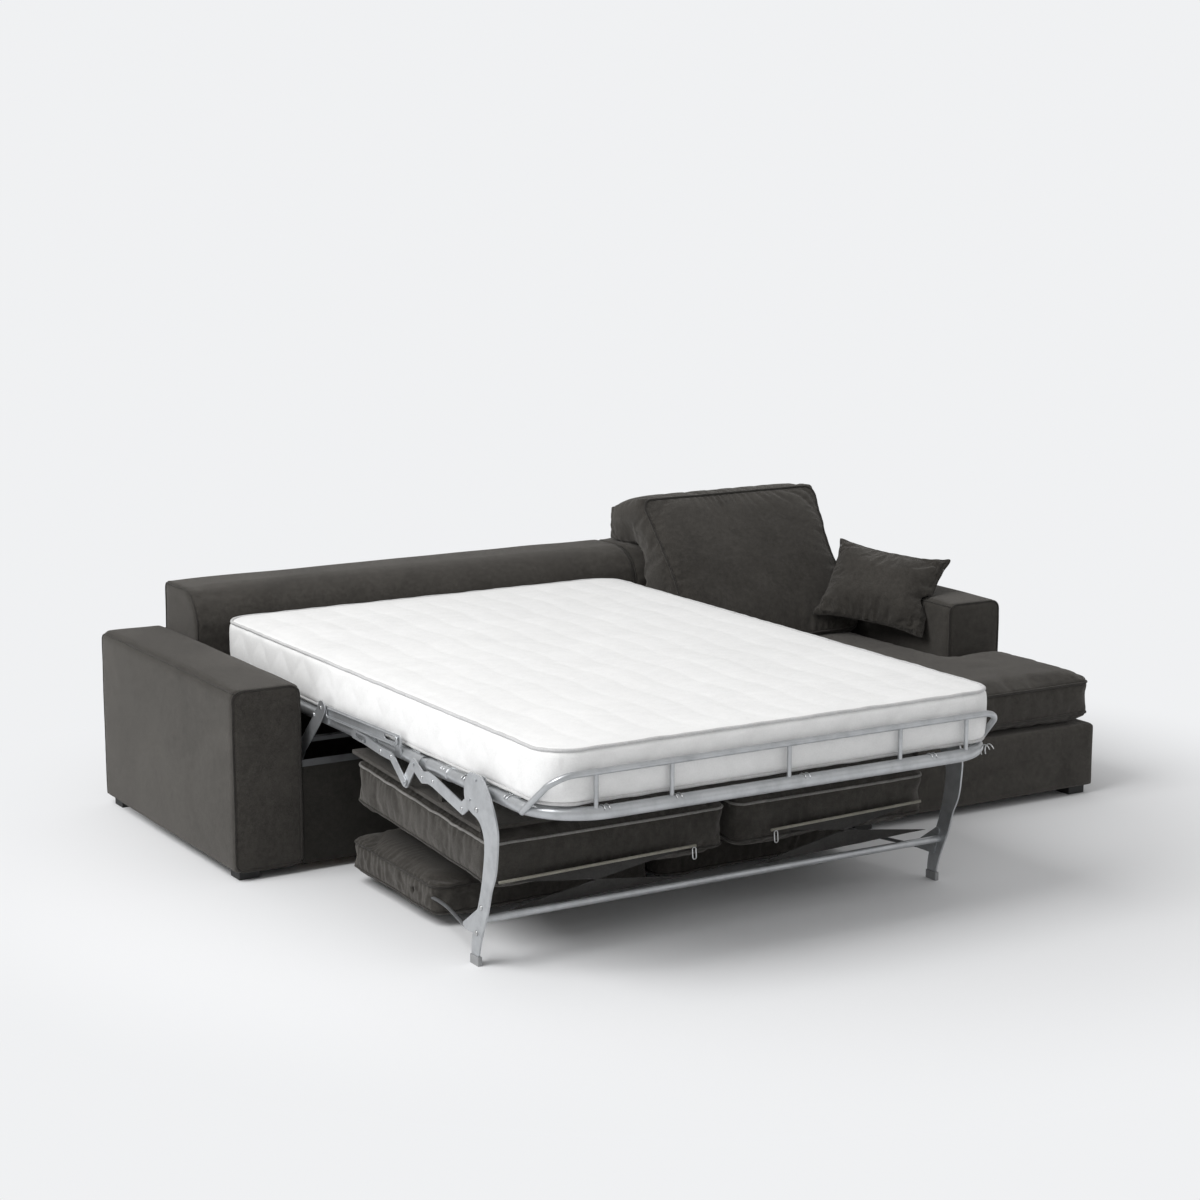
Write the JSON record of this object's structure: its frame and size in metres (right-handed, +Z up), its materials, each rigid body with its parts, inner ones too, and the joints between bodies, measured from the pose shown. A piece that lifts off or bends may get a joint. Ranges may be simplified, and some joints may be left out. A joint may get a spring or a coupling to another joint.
{
  "type": "corner sofa bed",
  "caption": "Corner sofa with a chaise and a folding steel bed that opens from the seat box, with mattress, linked side plates, folding legs and stowed cushions.",
  "frame": {"origin": "on the floor, under the middle of the whole piece with its bed out", "axes": "+X to the sofa's right as seen from the front, towards the chaise; +Y to the rear; +Z up"},
  "size_m": [2.759, 2.345, 0.871],
  "materials": {
    "cover_fabric": "dark taupe-grey brushed weave",
    "lining": "dark non-woven lining",
    "ticking": "white quilted ticking",
    "ticking_trim": "pale grey tape",
    "frame_paint": "light silver-grey semi-gloss",
    "zinc": "zinc plated",
    "dark_steel": "dark grey satin",
    "board": "raw hardboard",
    "foot_plastic": "matt black"
  },
  "bodies": {
    "sofa": {"left_arm": "cover_fabric", "left_arm_piping": "cover_fabric", "right_arm": "cover_fabric", "right_arm_piping": "cover_fabric", "low_back": "cover_fabric", "chaise_low_back": "cover_fabric", "box_side_panel": "cover_fabric", "bottom_board": "board", "front_panel": "lining", "front_panel_rail": "dark_steel", "chaise_base": "cover_fabric", "chaise_seat_cushion": "cover_fabric", "chaise_seat_piping": "cover_fabric", "chaise_back_cushion": "cover_fabric", "throw_cushion": "cover_fabric", "feet": "foot_plastic", "frame_bracket_left": "frame_paint", "frame_bracket_right": "frame_paint"},
    "head_section": {"head_frame": "frame_paint", "head_mesh": "zinc"},
    "middle_section": {"middle_frame": "frame_paint", "middle_mesh": "zinc", "mattress": "ticking", "mattress_piping": "ticking_trim"},
    "knuckle_section": {"knuckle_frame": "frame_paint", "knuckle_mesh": "zinc"},
    "foot_section": {"foot_frame": "frame_paint", "guard_rail": "frame_paint", "foot_mesh": "zinc", "seat_board": "cover_fabric", "seat_cushion_left": "cover_fabric", "seat_cushion_right": "cover_fabric", "seat_piping_left": "cover_fabric", "seat_piping_right": "cover_fabric", "zip_panel_left": "lining", "zip_panel_right": "lining"},
    "leg_frame": {"leg_plate_left": "frame_paint", "leg_plate_right": "frame_paint", "foot_caps": "foot_plastic", "leg_cross_tube": "frame_paint", "gusset_left": "frame_paint", "gusset_right": "frame_paint", "pad_carrier": "frame_paint", "back_pad_left": "cover_fabric", "back_pad_right": "cover_fabric"},
    "swing_arms": {"swing_plate_left": "frame_paint", "swing_plate_right": "frame_paint", "swing_bar": "dark_steel"},
    "slotted_links": {"slotted_link_left": "frame_paint", "slotted_link_right": "frame_paint"},
    "crank_plates": {"crank_plate_left": "frame_paint", "crank_plate_right": "frame_paint"},
    "channel_arms": {"channel_arm_left": "frame_paint", "channel_arm_right": "frame_paint"}
  },
  "joints": [
    {"name": "head_hinge", "type": "hinge", "parent": "sofa", "child": "head_section", "pos_m": [-0.395, 0.8725, 0.452], "axis": [1, 0, 0], "range_deg": [0, 35]},
    {"name": "fold", "type": "hinge", "parent": "head_section", "child": "middle_section", "pos_m": [-0.395, 0.4825, 0.452], "axis": [-1, 0, 0], "range_deg": [0, 88], "deforming": ["mattress", "mattress_piping"]},
    {"name": "knuckle_hinge", "type": "hinge", "parent": "middle_section", "child": "knuckle_section", "pos_m": [-0.395, -0.2275, 0.452], "axis": [-1, 0, 0], "range_deg": [0, 50]},
    {"name": "foot_hinge", "type": "hinge", "parent": "knuckle_section", "child": "foot_section", "pos_m": [-0.395, -0.5075, 0.452], "axis": [-1, 0, 0], "range_deg": [0, 40]},
    {"name": "leg_hinge", "type": "hinge", "parent": "foot_section", "child": "leg_frame", "pos_m": [-0.395, -0.8365, 0.487], "axis": [-1, 0, 0], "range_deg": [0, 3.3]},
    {"name": "swing_hinge", "type": "hinge", "parent": "sofa", "child": "swing_arms", "pos_m": [-0.395, 0.3095, 0.193], "axis": [-1, 0, 0], "range_deg": [0, 40.5]},
    {"name": "link_hinge", "type": "hinge", "parent": "middle_section", "child": "slotted_links", "pos_m": [-0.395, 0.0875, 0.481], "axis": [-1, 0, 0], "range_deg": [0, 14.2]},
    {"name": "crank_hinge", "type": "hinge", "parent": "knuckle_section", "child": "crank_plates", "pos_m": [-0.395, -0.4785, 0.45], "axis": [-1, 0, 0], "range_deg": [0, 36.3]},
    {"name": "arm_hinge", "type": "hinge", "parent": "crank_plates", "child": "channel_arms", "pos_m": [-0.395, -0.4305, 0.391], "axis": [1, 0, 0], "range_deg": [0, 44.8]}
  ],
  "couplings": [
    {"joint": "head_hinge", "follows": "fold", "ratio": 0.3977},
    {"joint": "knuckle_hinge", "follows": "fold", "ratio": 0.568},
    {"joint": "foot_hinge", "follows": "fold", "ratio": 0.4545},
    {"joint": "leg_hinge", "follows": "fold", "ratio": 0.0375},
    {"joint": "swing_hinge", "follows": "fold", "ratio": 0.46},
    {"joint": "link_hinge", "follows": "fold", "ratio": 0.161},
    {"joint": "crank_hinge", "follows": "fold", "ratio": 0.4125},
    {"joint": "arm_hinge", "follows": "fold", "ratio": 0.508}
  ]
}
